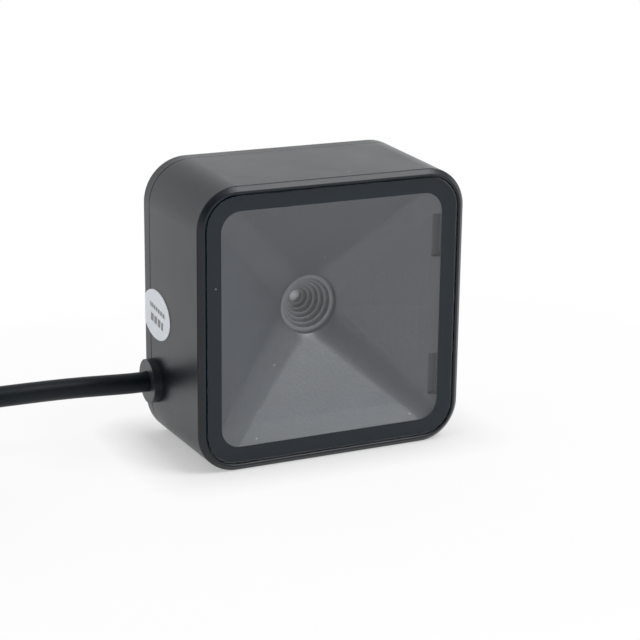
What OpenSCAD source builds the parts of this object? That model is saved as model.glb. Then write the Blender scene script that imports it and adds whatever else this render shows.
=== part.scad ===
// Fixed barcode reader: a square housing with a flush window, a light hood around one lens,
// a back cover with threaded inserts, and a moulded cable with a flat plug.
// Millimetres, +Z up, the window faces -Y, the reader stands on z = 0.

/* [Body] */
// Width of the front edge
body_w = 60; // [54:1:76]
// Height of the front edge
body_h = 60; // [54:1:76]
// Depth from the front rim to the back
body_d = 29.4; // [29:0.1:36]
// Corner radius of the front edge
corner_r = 8.6; // [7:0.1:11]
// Wall thickness of the housing
wall = 2.0; // [1.6:0.1:2.4]
// Growth of the outline per millimetre of depth
draft = 0.025; // [0.01:0.005:0.04]
// Depth of the front chamfer
chamfer_d = 0.9; // [0.6:0.1:1.4]
// Width of the front chamfer seen from the front
chamfer_w = 1.0; // [0.7:0.1:1.1]
// Rounding of the chamfer's two edges
edge_r = 0.45; // [0.2:0.05:0.6]
// Height cut off the lower wall to make the standing face
foot_cut = 0.1; // [0.08:0.01:0.3]
// Distance of the parting line from the back
cover_rim = 3.4; // [3:0.1:4.5]
// Height of the small bevel on both sides of the parting line
part_bevel = 0.15; // [0.1:0.01:0.25]

/* [Window] */
// Visible groove between the rim and the glass
glass_gap = 0.28; // [0.15:0.01:0.4]
// Width of the flat rim around the glass
rim_w = 0.5; // [0.4:0.1:1]
// Thickness of the glass
glass_t = 0.8; // [0.6:0.1:1.2]
// Thickness of the black bonding tape
tape_t = 0.2; // [0.1:0.05:0.4]
// Width of the black border that the tape makes
border_w = 3.2; // [2.9:0.1:8]
// Corner radius of the clear opening
clear_r = 4.3; // [2:0.1:7]
// Width of the ledge that carries the tape
ledge_w = 1.1; // [0.8:0.1:1.3]

/* [Light hood] */
// Flange thickness of the hood
hood_flange = 1.6; // [1.2:0.1:2]
// Width of the hood's flange, from its edge to the mouth
hood_lip = 1.5; // [1.2:0.1:1.6]
// Wall of the hood, measured across the front plane
hood_wall = 1.9; // [1.5:0.1:2.2]
// Valley radius at the mouth
valley_mouth = 5; // [3:0.5:6]
// Valley radius at the inner end
valley_end = 2; // [1:0.25:2.5]
// Radius of the collar around the lens
collar_r = 6.45; // [6.2:0.05:6.7]
// Depth of the collar behind the inner edges of the walls
collar_set = 0.9; // [0.85:0.05:1.1]
// Radius of the first bore inside the collar
step_r = 5.45; // [5.2:0.05:5.7]
// Number of steps down to the lens opening
step_count = 5; // [4:1:5]
// Width of each step
step_w = 0.8; // [0.75:0.05:0.85]
// Height of each step
step_h = 1.12; // [1:0.02:1.14]
// Length of the two notches in the right wall
notch_len = 9.3; // [6:0.1:11]
// Distance of the notches above and below the axis
notch_off = 15.3; // [14:0.1:16]
// Width of the notches, inward from the mouth edge
notch_w = 2.3; // [1.6:0.1:2.6]

/* [Camera and board] */
// Length of the lens barrel
barrel_len = 2.4; // [2.2:0.1:3]
// Distance from the lens barrel to the board, which holds the filter and the sensor
sensor_room = 1.3; // [1.3:0.1:2]
// Board width
board_w = 42; // [40:1:44]
// Board height
board_h = 44; // [42:1:46]
// Board thickness
board_t = 1.2; // [1:0.1:1.4]
// Free height between the board and the back cover
board_back = 2.0; // [1.9:0.1:2.4]
// Radius of the hood's posts
post_r = 2.2; // [1.9:0.1:2.4]
// Half distance of the posts across
post_x = 17.5; // [17:0.1:18]
// Height of the upper posts above the axis
post_up = 16.6; // [16:0.1:17.5]
// Depth of the lower posts below the axis
post_down = 9.5; // [9:0.1:10]
// Radius of the board screws
board_screw_r = 1.0; // [0.8:0.05:1.1]
// Length of the board screws in the posts
board_screw_len = 5; // [4:0.5:6]
// Radius of the board screws' heads
board_head_r = 1.8; // [1.6:0.1:2]
// Height of the board screws' heads
board_head_t = 1.2; // [1:0.1:1.4]
// Distance of the lamps from the axis across
lamp_x = 8.5; // [8:0.1:9]
// Distance of the lamps from the axis in height
lamp_v = 6.5; // [6:0.1:7]
// Width of each lamp
lamp_w = 3.5; // [3:0.1:4]
// Height of each lamp
lamp_h = 2.8; // [2.4:0.1:3.2]
// Thickness of each lamp
lamp_t = 0.9; // [0.7:0.1:1.1]
// Radius of the lens barrel
barrel_r = 3.5; // [3.2:0.1:3.7]
// Radius of the lens elements
lens_r = 2.2; // [1.9:0.05:2.4]

/* [Back cover] */
// Thickness of the back plate
back_t = 2.0; // [1.8:0.1:2.4]
// Rounding of the rear edge
back_edge = 0.5; // [0.3:0.1:0.8]
// Depth of the locating lip
lip_d = 1.6; // [1:0.1:1.6]
// Thickness of the locating lip
lip_t = 1.2; // [0.8:0.1:1.4]
// Distance of the cover screws from the outer edge
screw_in = 5.2; // [5:0.1:5.4]
// Radius of the screw bosses
boss_r = 3; // [2.8:0.1:3.2]
// Radius of the cover screws
screw_r = 1.2; // [1:0.05:1.3]
// Length of the cover screws
screw_len = 11; // [8:0.5:12]
// Spacing of the threaded inserts across
mount_x = 24; // [22:0.5:26]
// Spacing of the threaded inserts in height
mount_z = 24; // [22:0.5:26]
// Radius of the insert bores
mount_r = 1.5; // [1.25:0.05:1.5]
// Outer radius of the inserts
insert_r = 2.1; // [1.9:0.05:2.2]
// Length of the inserts
insert_len = 2.7; // [2.4:0.1:2.8]

/* [Cable] */
// Cable diameter
cable_dia = 4.4; // [4:0.1:4.6]
// Distance of the cable from the parting line, towards the front
cable_fwd = 1.6; // [1.5:0.1:2]
// Height of the cable above the standing face
cable_z = 13.35; // [12.8:0.05:14]
// Radius of the grommet flange
grommet_r = 4.75; // [4.2:0.05:4.9]
// Height of the grommet flange over the wall
grommet_out = 1.7; // [1.2:0.1:2.4]
// Radius of the grommet's neck in the wall
neck_r = 2.9; // [2.8:0.05:3.1]
// Radius of the grommet's inner flange
keeper_r = 3.65; // [3.4:0.05:3.8]
// Length of the straight runs of the wound cable
coil_run = 32; // [30:0.5:34]
// Radius of the innermost fold of the wound cable
fold_r = 12.9; // [12.6:0.1:13.2]
// Thickness of the tie
tie_t = 0.6; // [0.4:0.1:1]
// Width of the tie
tie_w = 9; // [6:0.5:12]

/* [Plug] */
// Width of the plug body
plug_w = 15.4; // [14:0.1:16.5]
// Thickness of the plug body
plug_h = 7.6; // [7.4:0.1:8.4]
// Length of the plug body
plug_len = 22; // [18:1:28]
// Length of the strain relief
relief_len = 6; // [4:0.5:8]
// Width of the metal shell
shell_w = 12; // [11.8:0.1:12.2]
// Thickness of the metal shell
shell_h = 4.5; // [4.3:0.1:4.6]
// Free length of the metal shell
shell_len = 18.75; // [17:0.25:19]

/* [Label] */
// Length of the oval label along the depth
label_len = 14.9; // [11:0.1:15]
// Height of the oval label
label_h = 10.7; // [8:0.1:12]
// Thickness of the label
label_t = 0.12; // [0.08:0.02:0.2]

/* [Fits] */
// Clearance of pieces that drop into place
slip = 0.15; // [0.1:0.01:0.2]
// Clearance of pieces that are pressed or screwed in
snug = 0.05; // [0.03:0.01:0.08]

/* [Hidden] */
$fn = 96;
mold_black = [0.16, 0.17, 0.18];
hood_grey = [0.42, 0.42, 0.44];
steel = [0.72, 0.73, 0.75];
brass = [0.78, 0.62, 0.30];
board_green = [0.10, 0.36, 0.20];
chip_black = [0.10, 0.10, 0.11];
cream = [0.90, 0.88, 0.80];
clear_glass = [0.80, 0.86, 0.90, 0.4];

// Height of the window's axis over the standing face
axis_z = body_h / 2 - foot_cut;
part_d = body_d - cover_rim;
tape_d = glass_t + tape_t;
flange_d = tape_d + hood_flange;
ledge_back = flange_d + 1.4;
pocket_u = chamfer_w + rim_w;
step_u = pocket_u + ledge_w;
seat_u = step_u + 1.8;
// Half sizes of the hood's flange and mouth
flange_hw = body_w / 2 - step_u - 0.1;
flange_hh = body_h / 2 - step_u - 0.1;
mouth_hw = flange_hw - hood_lip;
mouth_hh = flange_hh - hood_lip;
board_d1 = body_d - back_t - board_back;
board_d0 = board_d1 - board_t;
// The camera is built up from the board: barrel, end of the throat, steps, collar
barrel_d1 = board_d0 - sensor_room;
barrel_d0 = barrel_d1 - barrel_len;
throat_end = barrel_d0 - 0.1;
collar_d = throat_end - 0.8 - step_count * step_h;
// Depth gained by the hood per millimetre towards the axis
hood_slope = (collar_d - collar_set - tape_d) / (mouth_hw - collar_r);
cavity_end = collar_d + 1;
inner_back = body_d - back_t;
screw_x = body_w / 2 - screw_in;
screw_v = body_h / 2 - screw_in;
// Place and size of the cable header on the board
header_x = 13.5;
header_v = -17;
header_w = 6;
header_h = 7.2;
cable_d = part_d - cable_fwd;
cable_v = cable_z - axis_z;
cable_r = cable_dia / 2;
// Place of the wall's outside at the cable, and of the flat that the flange sits on
side_x = body_w / 2 + draft * (cable_d - chamfer_d);
spot_x = side_x - 0.14;
flange_x = side_x + grommet_out;
inner_x = side_x - wall - 0.25;
cable_end_x = side_x - 5.6;
exit_y = cable_d - body_d / 2;

// The spare cable lies beside the reader in eight flat turns, in two columns a hair apart
turns = 8;
lay = cable_dia + 0.1;
column = lay * (turns - 1) / 2;
bundle_w = lay + cable_dia;
coil_r = fold_r + lay / 2;
coil_at = [-106.5, -4.9];
coil_z = tie_t + 0.02 + (column + bundle_w) / 2;
// Places in the outer column where the cable runs in and, a turn's rise lower, out again
slot_y = coil_at[1] + coil_r + lay / 2;
slot_in = [coil_at[0] + coil_run / 2, slot_y, coil_z + lay / 2 - 2];
slot_out = [
    coil_at[0] - coil_run / 2, slot_y,
    slot_in[2] - lay + lay * coil_run / (2 * coil_run + 2 * PI * coil_r)
];
// Route of the cable: leaves level, and runs into the outer column
cable_route = [
    [-cable_end_x + 8, exit_y, cable_z],
    [-cable_end_x, exit_y, cable_z],
    [-30, exit_y, cable_z],
    [-36, exit_y, cable_z],
    [-50, exit_y + 0.3, cable_z + 0.6],
    [-66, exit_y + 0.9, cable_z + 0.6],
    [-78, slot_y - 0.2, slot_in[2]],
    slot_in,
    slot_in - [14, 0, 0]
];
// The tail sinks to the plug that lies past the turns
plug_x = slot_out[0] - 31 - relief_len;
plug_y = slot_y - 5.5;
plug_z = plug_h / 2;
sink = [0, plug_y - slot_y, plug_z - slot_out[2]];
tail_route = [
    slot_out + [10, 0, 0],
    slot_out,
    slot_out - [6, 0, 0],
    slot_out - [12.25, 0, 0] + 0.15 * sink,
    slot_out - [18.5, 0, 0] + 0.5 * sink,
    slot_out - [24.75, 0, 0] + 0.85 * sink,
    [plug_x + relief_len, plug_y, plug_z],
    [plug_x + relief_len - 10, plug_y, plug_z]
];

function unit(v) = v / norm(v);
// Points of a rounded corner at b between a and c
function corner(a, b, c, r, n = 3) =
    let (
        p = unit(a - b),
        q = unit(c - b),
        half = acos(p * q) / 2,
        mid = b + unit(p + q) * r / sin(half),
        s = b + p * r / tan(half) - mid,
        e = b + q * r / tan(half) - mid,
        turn = 180 - 2 * half,
        side = s[0] * e[1] - s[1] * e[0] > 0 ? 1 : -1
    )
    [for (i = [0 : n]) let (w = side * turn * i / n)
        mid + [s[0] * cos(w) - s[1] * sin(w), s[0] * sin(w) + s[1] * cos(w)]];
// Distance of the drafted outer and inner wall inward from the front edge
function out_u(d) = -draft * (d - chamfer_d);
function in_u(d) = wall + out_u(d);
// Catmull-Rom point between p[i] and p[i + 1]
function curve_at(p, i, t) =
    0.5 * (2 * p[i] + (p[i + 1] - p[i - 1]) * t
        + (2 * p[i - 1] - 5 * p[i] + 4 * p[i + 1] - p[i + 2]) * t * t
        + (3 * p[i] - p[i - 1] - 3 * p[i + 1] + p[i + 2]) * t * t * t);
function curve(p, n) = concat(
    [for (i = [1 : len(p) - 3], k = [0 : n - 1]) curve_at(p, i, k / n)],
    [p[len(p) - 2]]);
// Loop of points on a rounded rectangle
function loop(hw, hh, r, z, n) = [
    for (c = [0 : 3], k = [0 : n])
        let (a = 90 * c + 90 * k / n)
        [(c == 0 || c == 3 ? 1 : -1) * (hw - r) + r * cos(a), (c < 2 ? 1 : -1) * (hh - r) + r * sin(a), z]
];
// Side faces between rings of m points, and the two end faces
function skin(rings, m) = concat(
    [for (i = [0 : rings - 2], k = [0 : m - 1]) [i * m + k, i * m + (k + 1) % m, (i + 1) * m + k]],
    [for (i = [0 : rings - 2], k = [0 : m - 1])
        [i * m + (k + 1) % m, (i + 1) * m + (k + 1) % m, (i + 1) * m + k]],
    [[for (k = [m - 1 : -1 : 0]) k]],
    [[for (k = [0 : m - 1]) (rings - 1) * m + k]]);

// Stands the children up: x across, y up from the axis, z forward from the back plane
module upright() {
    translate([0, body_d / 2, axis_z])
        rotate([90, 0, 0])
            children();
}

// Extrudes between two depths counted from the front rim
module slab(d0, d1) {
    translate([0, 0, body_d - d1])
        linear_extrude(height = d1 - d0)
            children();
}

module rounded(w, h, r) {
    square([w - 2 * r, h], center = true);
    square([w, h - 2 * r], center = true);
    for (sx = [-1, 1], sy = [-1, 1])
        translate([sx * (w / 2 - r), sy * (h / 2 - r)])
            circle(r);
}

module four(x, y) {
    for (sx = [-1, 1], sy = [-1, 1])
        translate([sx * x, sy * y])
            children();
}

// The upper and lower one of those four on the right
module on_right(x, y) {
    for (sy = [-1, 1])
        translate([x, sy * y])
            children();
}

// Sweeps a profile of [inward, depth] points around the front edge
module around(profile) {
    hw = body_w / 2 - corner_r;
    hh = body_h / 2 - corner_r;
    section = [for (p = profile) [corner_r - p[0], body_d - p[1]]];
    for (c = [0 : 3]) {
        sx = c == 0 || c == 3 ? 1 : -1;
        sy = c < 2 ? 1 : -1;
        translate([sx * hw, sy * hh, 0])
            rotate([0, 0, 90 * c])
                rotate_extrude(angle = 90)
                    polygon(section);
        far = c % 2 == 0 ? hw : hh;
        run = c % 2 == 0 ? hh : hw;
        rotate([0, 0, 90 * c])
            translate([far, run, 0])
                rotate([90, 0, 0])
                    linear_extrude(height = 2 * run)
                        polygon(section);
    }
}

// Everything below the standing face
module below_foot() {
    translate([-body_w, -axis_z - 20, -10])
        cube([2 * body_w, 20, body_d + 20]);
}

// Straight round piece along x through the cable's place, from xa out to xb on the left
module at_cable(r, xa, xb) {
    translate([-xb, cable_v, body_d - cable_d])
        rotate([0, 90, 0])
            cylinder(r = r, h = xb - xa);
}

module tube(route, n, r, sides) {
    path = curve(route, n);
    m = len(path);
    points = [
        for (i = [0 : m - 1])
            let (
                t = i == 0 || i == m - 1 ? [-1, 0, 0] : unit(path[i + 1] - path[i - 1]),
                a = unit(cross(t, [0, 0, 1])),
                b = cross(a, t)
            )
            for (k = [0 : sides - 1])
                path[i] + r * (a * cos(360 * k / sides) + b * sin(360 * k / sides))
    ];
    polyhedron(points, skin(m, sides));
}

module loft(hw0, hh0, r0, d0, hw1, hh1, r1, d1) {
    n = 10;
    polyhedron(
        concat(loop(hw0, hh0, r0, body_d - d0, n), loop(hw1, hh1, r1, body_d - d1, n)),
        skin(2, 4 * (n + 1)));
}

module front_housing() {
    front = [chamfer_w, 0];
    side = [0, chamfer_d];
    shell = concat(
        [[out_u(part_d) + part_bevel, part_d], [out_u(part_d - part_bevel), part_d - part_bevel]],
        corner([out_u(part_d), part_d], side, front, edge_r),
        corner(side, front, [pocket_u, 0], edge_r * 0.6),
        [
            [pocket_u - 0.1, 0], [pocket_u, 0.1],
            [pocket_u, tape_d], [step_u, tape_d],
            [step_u, flange_d], [seat_u, flange_d],
            [seat_u, ledge_back], [in_u(ledge_back), ledge_back],
            [in_u(part_d), part_d]
        ]);
    lug_x = mouth_hw - notch_w + 0.2;
    color(mold_black)
        upright()
            difference() {
                union() {
                    around(shell);
                    slab(ledge_back + 2.5, part_d)
                        four(screw_x, screw_v)
                            circle(boss_r);
                    // Lugs that key the hood
                    slab(flange_d + 0.3, ledge_back)
                        on_right((lug_x + body_w / 2 - 1.5) / 2, notch_off)
                            square([body_w / 2 - 1.5 - lug_x, notch_len - 2 * slip], center = true);
                }
                below_foot();
                slab(part_d - screw_len, part_d + 1)
                    four(screw_x, screw_v)
                        circle(screw_r + snug);
                at_cable(neck_r + snug, inner_x - 6, side_x + 5);
                at_cable(grommet_r + snug, spot_x, side_x + 5);
            }
}

module back_cover() {
    edge = [out_u(body_d), body_d];
    rim = concat(
        [[in_u(part_d) + slip, part_d], [out_u(part_d) + part_bevel, part_d]],
        [[out_u(part_d + part_bevel), part_d + part_bevel]],
        corner([out_u(part_d), part_d], edge, [6, body_d], back_edge, 4),
        [
            [6, body_d], [6, inner_back],
            [in_u(part_d) + slip + lip_t, inner_back],
            [in_u(part_d) + slip + lip_t, part_d - lip_d],
            [in_u(part_d) + slip, part_d - lip_d]
        ]);
    sink = screw_r + 0.1;
    color(mold_black)
        upright()
            difference() {
                union() {
                    difference() {
                        around(rim);
                        // The lip gives way to the screw bosses and to the cable
                        slab(part_d - lip_d - 1, part_d)
                            four(screw_x, screw_v)
                                circle(boss_r + slip);
                        slab(part_d - lip_d - 1, part_d)
                            translate([-body_w / 2, cable_v])
                                square([12, 2 * grommet_r], center = true);
                    }
                    slab(inner_back, body_d)
                        rounded(body_w - 10, body_h - 10, corner_r - 5);
                    slab(part_d, inner_back + 0.5)
                        four(screw_x, screw_v)
                            circle(boss_r);
                    slab(body_d - insert_len - 0.8, inner_back + 0.5)
                        four(mount_x / 2, mount_z / 2)
                            circle(insert_r + 1.1);
                }
                below_foot();
                slab(part_d - 1, body_d + 1)
                    four(screw_x, screw_v)
                        circle(sink);
                four(screw_x, screw_v)
                    translate([0, 0, -0.01])
                        cylinder(r1 = sink + 1.21, r2 = sink, h = 1.21);
                slab(body_d - insert_len - 0.1, body_d + 1)
                    four(mount_x / 2, mount_z / 2)
                        circle(insert_r + snug);
                // Room for the grommet's inner flange
                intersection() {
                    at_cable(keeper_r + snug, inner_x - 6, inner_x + snug);
                    slab(0, inner_back)
                        square(3 * body_w, center = true);
                }
                at_cable(neck_r + snug, inner_x - 6, side_x + 5);
                at_cable(grommet_r + snug, spot_x, side_x + 5);
            }
}

// Countersunk screws with a cross recess
module cover_screws() {
    color(steel)
        upright()
            four(screw_x, screw_v)
                difference() {
                    union() {
                        translate([0, 0, 0.1])
                            cylinder(r1 = screw_r + 1.1, r2 = screw_r, h = 1.1);
                        translate([0, 0, 1.2])
                            cylinder(r = screw_r, h = cover_rim + screw_len - 2);
                    }
                    translate([-0.3, -1.2, 0])
                        cube([0.6, 2.4, 0.8]);
                    translate([-1.2, -0.3, 0])
                        cube([2.4, 0.6, 0.8]);
                }
}

// Brass inserts for the mounting bolts
module mount_inserts() {
    color(brass)
        upright()
            slab(body_d - insert_len - 0.1, body_d - 0.1)
                four(mount_x / 2, mount_z / 2)
                    difference() {
                        circle(insert_r);
                        circle(mount_r);
                    }
}

module window_glass() {
    gap = pocket_u + glass_gap;
    color(clear_glass)
        upright()
            slab(0, glass_t)
                rounded(body_w - 2 * gap, body_h - 2 * gap, corner_r - gap);
}

// Black double-sided tape, seen through the glass as its border
module window_tape() {
    gap = pocket_u + glass_gap + 0.1;
    clear_hw = body_w / 2 - gap - border_w;
    clear_hh = body_h / 2 - gap - border_w;
    color(mold_black)
        upright()
            slab(glass_t, tape_d)
                difference() {
                    rounded(body_w - 2 * gap, body_h - 2 * gap, corner_r - gap);
                    rounded(2 * clear_hw, 2 * clear_hh, clear_r);
                }
}

// Sloping walls around the lens, a stepped snout, and posts that carry the board
module light_hood() {
    drop = (cavity_end - tape_d) / hood_slope;
    shift = 0.1 / hood_slope;
    out0 = hood_wall - 1.0 / hood_slope;
    out1 = hood_wall - (cavity_end + 1.6 - tape_d) / hood_slope;
    color(hood_grey)
        upright()
            difference() {
                union() {
                    difference() {
                        union() {
                            loft(mouth_hw + out0, mouth_hh + out0, valley_mouth + hood_wall - 0.5, tape_d + 1.0,
                                mouth_hw + out1, mouth_hh + out1, valley_end, cavity_end + 1.6);
                            slab(tape_d, flange_d)
                                rounded(2 * flange_hw, 2 * flange_hh, corner_r - step_u - 0.1);
                            slab(tape_d + 4.2, board_d0)
                                hood_posts(post_r);
                            slab(collar_d - 0.2, collar_d + 3.4)
                                circle(collar_r + 0.8);
                            slab(collar_d + 2, throat_end)
                                circle(step_r - 0.65);
                        }
                        loft(mouth_hw + shift, mouth_hh + shift, valley_mouth, tape_d - 0.1,
                            mouth_hw - drop, mouth_hh - drop, valley_end, cavity_end);
                        slab(collar_d - 3, collar_d + 0.4)
                            circle(collar_r);
                    }
                    slab(collar_d, collar_d + 3)
                        circle(collar_r + 0.4);
                }
                for (i = [0 : step_count - 1])
                    slab(collar_d + i * step_h - 0.5, collar_d + (i + 1) * step_h)
                        circle(step_r - i * step_w);
                slab(collar_d + 1, throat_end + 1)
                    circle(step_r - step_count * step_w);
                slab(tape_d - 1, board_d0 - 2)
                    on_right(mouth_hw - notch_w / 2 + 0.4, notch_off)
                        square([notch_w + 0.8, notch_len], center = true);
                slab(board_d0 - board_screw_len - 2, board_d0 + 1)
                    hood_posts(board_screw_r + snug);
            }
}

module hood_posts(r) {
    for (sx = [-1, 1], v = [post_up, -post_down])
        translate([sx * post_x, v])
            circle(r);
}

module lens_barrel() {
    color(mold_black)
        upright()
            difference() {
                slab(barrel_d0, barrel_d1)
                    circle(barrel_r);
                slab(barrel_d0 - 1, barrel_d1 + 1)
                    circle(lens_r - 0.6);
                slab(barrel_d0 + 0.4, barrel_d1 + 1)
                    circle(lens_r + snug);
            }
}

// Front element, domed towards the hood
module lens_front() {
    dome_r = 2.6;
    color(clear_glass)
        upright()
            union() {
                slab(barrel_d0 + 0.4, barrel_d0 + 1.0)
                    circle(lens_r);
                intersection() {
                    translate([0, 0, body_d - barrel_d0 - dome_r])
                        sphere(dome_r);
                    slab(barrel_d0 - 1, barrel_d0 + 0.5)
                        circle(lens_r - 0.65);
                }
            }
}

module lens_spacer() {
    color(chip_black)
        upright()
            slab(barrel_d0 + 1.0, barrel_d0 + 1.5)
                difference() {
                    circle(lens_r);
                    circle(lens_r - 0.5);
                }
}

module lens_rear() {
    color(clear_glass)
        upright()
            slab(barrel_d0 + 1.5, barrel_d0 + 2.1)
                circle(lens_r);
}

module lens_holder() {
    color(chip_black)
        upright()
            difference() {
                slab(barrel_d0 + 0.8, board_d0)
                    rounded(10, 10, 1);
                slab(barrel_d0, board_d0)
                    circle(barrel_r + snug);
                slab(barrel_d1 + 0.1, board_d0 + 1)
                    square(8, center = true);
            }
}

module ir_filter() {
    color(clear_glass)
        upright()
            slab(barrel_d1 + 0.1, barrel_d1 + 0.4)
                square(7.8, center = true);
}

module image_sensor() {
    color(chip_black)
        upright()
            slab(board_d0 - 0.8, board_d0)
                square(6, center = true);
}

module main_board() {
    color(board_green)
        upright()
            slab(board_d0, board_d1)
                difference() {
                    rounded(board_w, board_h, 2);
                    hood_posts(board_screw_r + slip);
                    // Cut-out beside the cable header for the leads
                    translate([-board_w / 2 - 1, header_v - header_h / 2 - 5])
                        square([board_w / 2 + 1 - header_x - header_w / 2 - 0.9, header_h + 5.6]);
                }
}

module board_screws() {
    color(steel)
        upright() {
            slab(board_d1, board_d1 + board_head_t)
                hood_posts(board_head_r);
            slab(board_d0 - board_screw_len, board_d1)
                hood_posts(board_screw_r);
        }
}

// Flat package on the front of the board
module package(x, v, w, h, t) {
    upright()
        slab(board_d0 - t, board_d0)
            translate([x, v])
                square([w, h], center = true);
}

module decoder_chip() {
    color(chip_black)
        package(0, 13, 11, 11, 1.2);
}

module memory_chip() {
    color(chip_black)
        package(14.5, 8, 5.6, 8, 1);
}

module clock_crystal() {
    color(steel)
        package(-14, 8, 3.2, 5, 1.1);
}

// White lamps that shine through the hood
module lamp_chips() {
    color(cream)
        for (sx = [-1, 1], sv = [-1, 1])
            package(sx * lamp_x, sv * lamp_v, lamp_w, lamp_h, lamp_t);
}

module buzzer() {
    color(chip_black)
        upright()
            difference() {
                slab(board_d0 - 4, board_d0)
                    translate([11, -15.5])
                        circle(4.5);
                slab(board_d0 - 5, board_d0 - 3)
                    translate([11, -15.5])
                        circle(0.8);
            }
}

// Side-entry socket for the cable's connector
module cable_header() {
    color(cream)
        upright()
            difference() {
                slab(board_d0 - 4.5, board_d0)
                    translate([-header_x, header_v])
                        square([header_w, header_h], center = true);
                slab(board_d0 - 3.9, board_d0 - 0.6)
                    translate([-header_x - 1, header_v])
                        square([header_w, header_h - 1.4], center = true);
            }
}

module cable_connector() {
    color(cream)
        upright()
            slab(board_d0 - 3.9 + snug, board_d0 - 0.6 - snug)
                translate([-header_x - 1.25, header_v])
                    square([header_w + 0.5, header_h - 1.6], center = true);
}

// Four wires from the cable's end to the connector
module inner_leads() {
    wire_r = 0.45;
    steps = 8;
    sides = 8;
    xa = -cable_end_x;
    xb = -header_x - header_w / 2 - 1.5;
    ya = cable_d - body_d / 2;
    yb = board_d0 - 2.25 - body_d / 2;
    color([0.75, 0.15, 0.12])
        for (w = [0 : 3]) {
            va = cable_z + (w < 2 ? -0.65 : 0.65);
            ha = ya + (w % 2 == 0 ? -0.65 : 0.65);
            vb = axis_z + header_v + (w - 1.5) * 1.3;
            polyhedron(
                [for (i = [0 : steps], k = [0 : sides - 1])
                    let (t = i / steps, s = t * t * (3 - 2 * t), a = -360 * k / sides)
                    [
                        xa + (xb - xa) * t,
                        ha + (yb - ha) * s + wire_r * cos(a),
                        va + (vb - va) * s + wire_r * sin(a)
                    ]],
                skin(steps + 1, sides));
        }
}

// Rubber grommet: flange outside, neck through the wall, cut flange inside
module cable_grommet() {
    color(mold_black)
        upright()
            difference() {
                union() {
                    at_cable(grommet_r, spot_x, flange_x);
                    at_cable(neck_r, inner_x - 1, spot_x);
                    intersection() {
                        at_cable(keeper_r, inner_x - 1.2, inner_x);
                        translate([-body_w, -body_h, back_t + 0.1])
                            cube([2 * body_w, 2 * body_h, body_d]);
                    }
                }
                at_cable(cable_r + snug, inner_x - 4, flange_x + 1);
            }
}

// Plain oval label across the parting line on the left wall
module seal_label() {
    label_d = part_d - 3.4;
    label_v = -1.5;
    color([0.93, 0.94, 0.97])
        upright()
            intersection() {
                translate([-body_w / 2 + out_u(label_d), label_v, body_d - label_d])
                    rotate([0, atan(draft) - 90, 0])
                        linear_extrude(height = label_t)
                            polygon([for (i = [0 : 59]) [label_len / 2 * cos(6 * i), label_h / 2 * sin(6 * i)]]);
                slab(0, body_d - back_edge - 0.05)
                    square(3 * body_w, center = true);
            }
}

module cable() {
    color(mold_black)
        tube(cable_route, 3, cable_r, 12);
}

// Outline of the bundle of turns
module bundle(grow) {
    square([bundle_w + 2 * grow, column], center = true);
    for (s = [-1, 1])
        translate([0, s * column / 2])
            circle(bundle_w / 2 + grow);
}

// Outer shape of the wound cable, notched where the two ends run in
module cable_coil() {
    reach = 30;
    color(mold_black)
        difference() {
            translate([coil_at[0], coil_at[1], coil_z])
                for (side = [0, 180])
                    rotate([0, 0, side]) {
                        translate([-coil_run / 2, coil_r, 0])
                            rotate([90, 0, 90])
                                linear_extrude(height = coil_run)
                                    bundle(0);
                        translate([coil_run / 2, 0, 0])
                            rotate([0, 0, -90])
                                rotate_extrude(angle = 180)
                                    translate([coil_r, 0])
                                        bundle(0);
                    }
            translate([slot_in[0], slot_y - cable_r - 0.4, slot_in[2] - cable_r - 1])
                cube([reach, reach, cable_dia + 1.1]);
            translate([slot_out[0] - reach, slot_y - cable_r - 1.7, slot_out[2] - cable_r - 3.5])
                cube([reach, reach, cable_dia + 3.6]);
        }
}

module coil_tie() {
    color([0.12, 0.12, 0.13])
        translate([coil_at[0] - tie_w / 2, coil_at[1] - coil_r, coil_z])
            rotate([90, 0, 90])
                linear_extrude(height = tie_w)
                    difference() {
                        bundle(tie_t + 0.02);
                        bundle(0.02);
                    }
}

module cable_tail() {
    color(mold_black)
        tube(tail_route, 2, cable_r, 12);
}

// Lays the children along the plug: x across, y up, z towards the plug's mouth
module along_plug(x0) {
    translate([plug_x - x0, plug_y, plug_z])
        rotate([90, 0, -90])
            children();
}

module plug_body() {
    color(mold_black)
        difference() {
            union() {
                along_plug(0)
                    linear_extrude(height = plug_len)
                        rounded(plug_w, plug_h, 2.2);
                along_plug(-relief_len)
                    cylinder(r = cable_r + 1, h = relief_len + 1);
            }
            along_plug(plug_len - 2)
                linear_extrude(height = 3)
                    rounded(shell_w + 2 * snug, shell_h + 2 * snug, 0.5 + snug);
        }
}

module plug_shell() {
    inner_w = shell_w - 0.6;
    inner_h = shell_h - 0.6;
    color(steel)
        difference() {
            along_plug(plug_len - 2)
                linear_extrude(height = shell_len + 2)
                    difference() {
                        rounded(shell_w, shell_h, 0.5);
                        square([inner_w, inner_h], center = true);
                    }
            along_plug(plug_len + 10)
                for (sx = [-1, 1])
                    translate([sx * 2.8 - 1.1, -shell_h, 0])
                        cube([2.2, 2 * shell_h, 2.2]);
        }
}

module plug_insert() {
    inner_h = shell_h - 0.6;
    color([0.92, 0.92, 0.90])
        along_plug(plug_len - 2)
            linear_extrude(height = shell_len + 1)
                translate([0, inner_h / 2 - 0.95])
                    square([shell_w - 0.6 - 2 * snug, 1.9], center = true);
}

module plug_contacts() {
    inner_h = shell_h - 0.6;
    color(brass)
        for (x = [-3.5, -1, 1, 3.5])
            along_plug(plug_len + 4)
                linear_extrude(height = shell_len - 6)
                    translate([x, inner_h / 2 - 1.9 - 0.1])
                        square([1, 0.2], center = true);
}

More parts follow.
